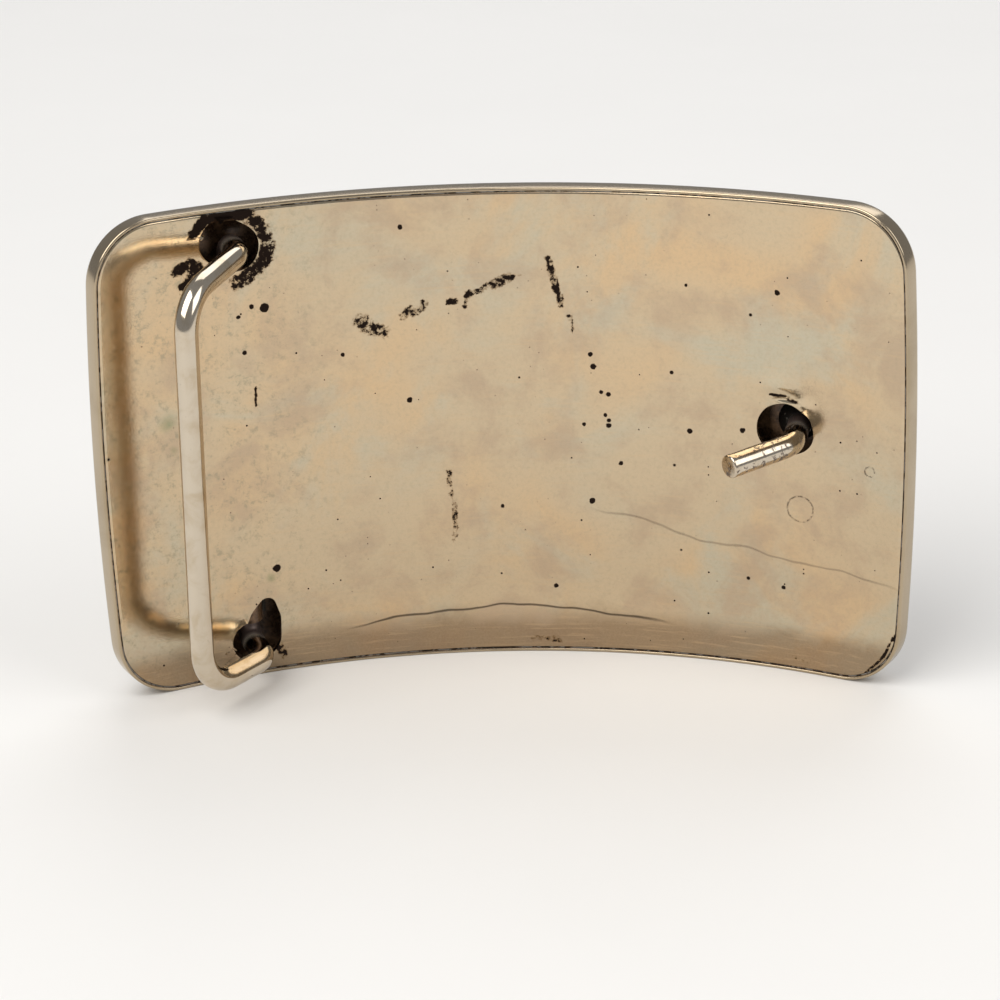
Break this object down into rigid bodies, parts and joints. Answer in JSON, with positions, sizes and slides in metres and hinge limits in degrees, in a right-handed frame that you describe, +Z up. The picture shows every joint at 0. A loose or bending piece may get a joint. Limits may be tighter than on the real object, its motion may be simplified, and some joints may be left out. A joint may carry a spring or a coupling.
{
  "type": "belt buckle",
  "caption": "Curved rectangular belt buckle: hollow two-plate body, swinging wire bail for the belt's fixed end and a bent hook for the holes in its free end.",
  "frame": {"origin": "middle of the buckle's footprint, on the surface its long lower edge stands on", "axes": "+X along the buckle from the bail to the hook, +Z up across its width, -Y out of the hollow back towards the wearer"},
  "size_m": [0.0864, 0.0232, 0.0534],
  "materials": {
    "front_metal": "polished nickel silver, lightly worn",
    "back_metal": "satin nickel silver, patchy warm tarnish",
    "wire": "bright nickel-plated wire, worn",
    "dark_tube": "oxidised dark brown inside the cavity",
    "solder": "dull grey soft solder"
  },
  "bodies": {
    "buckle": {"front_shell": "front_metal", "back_plate": "back_metal", "edge_solder": "solder", "hinge_tube_upper": "dark_tube", "hinge_tube_lower": "dark_tube", "hinge_solder_upper": "solder", "hinge_solder_lower": "solder", "hook": "wire", "hook_base_disc": "dark_tube", "hook_solder": "solder"},
    "bail": {"bail": "wire"}
  },
  "joints": [
    {"name": "bail_hinge", "type": "hinge", "parent": "buckle", "child": "bail", "pos_m": [-0.02861, 0.0038, 0.0267], "axis": [0, 0, 1], "range_deg": [-15, 25]}
  ]
}
